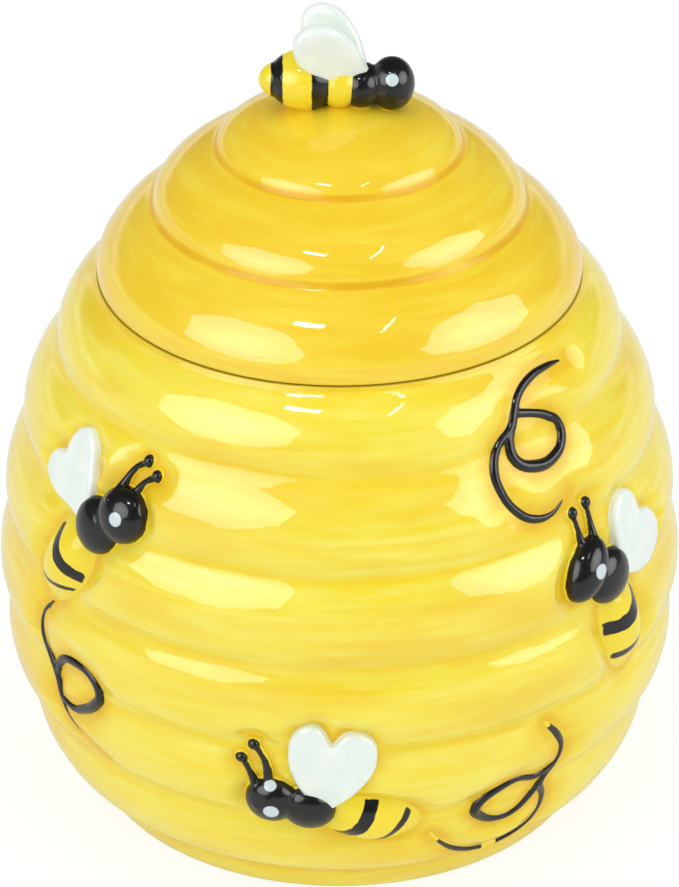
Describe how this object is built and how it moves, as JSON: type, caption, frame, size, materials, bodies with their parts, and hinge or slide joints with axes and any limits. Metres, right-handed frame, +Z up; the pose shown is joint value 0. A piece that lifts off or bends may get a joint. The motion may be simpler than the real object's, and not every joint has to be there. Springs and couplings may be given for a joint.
{
  "type": "cookie jar",
  "caption": "Beehive-shaped glazed cookie jar with ribbed wall, relief bees and flight trails, and a lift-off ribbed lid with a modelled bee for its knob.",
  "frame": {"origin": "centre of the foot, on the surface that the jar stands on", "axes": "+Z up along the turned axis, -Y towards the front, where the lower bee is, +X to the right seen from the front"},
  "size_m": [0.1912, 0.1912, 0.2347],
  "materials": {
    "lemon_glaze": "gloss glaze over brushed lemon yellow",
    "honey_glaze": "gloss glaze over brushed honey yellow",
    "black_glaze": "gloss black",
    "white_glaze": "gloss white with a faint green tint",
    "banded_glaze": "gloss yellow with black bands"
  },
  "bodies": {
    "jar": {"jar_body": "lemon_glaze", "left_bee_abdomen": "banded_glaze", "left_bee_thorax": "black_glaze", "left_bee_head": "black_glaze", "left_bee_wings": "white_glaze", "left_bee_antennae": "black_glaze", "right_bee_abdomen": "banded_glaze", "right_bee_thorax": "black_glaze", "right_bee_head": "black_glaze", "right_bee_wings": "white_glaze", "right_bee_antennae": "black_glaze", "lower_bee_abdomen": "banded_glaze", "lower_bee_thorax": "black_glaze", "lower_bee_head": "black_glaze", "lower_bee_wings": "white_glaze", "lower_bee_antennae": "black_glaze", "left_trail": "black_glaze", "upper_trail": "black_glaze", "lower_trail": "black_glaze"},
    "lid": {"lid": "honey_glaze", "knob_bee_abdomen": "banded_glaze", "knob_bee_thorax": "black_glaze", "knob_bee_head": "black_glaze", "knob_bee_front_wing": "white_glaze", "knob_bee_rear_wing": "white_glaze"}
  },
  "joints": [
    {"name": "lid_lift", "type": "slide", "parent": "jar", "child": "lid", "axis": [0, 0, 1], "range_m": [0, 0.15]}
  ]
}
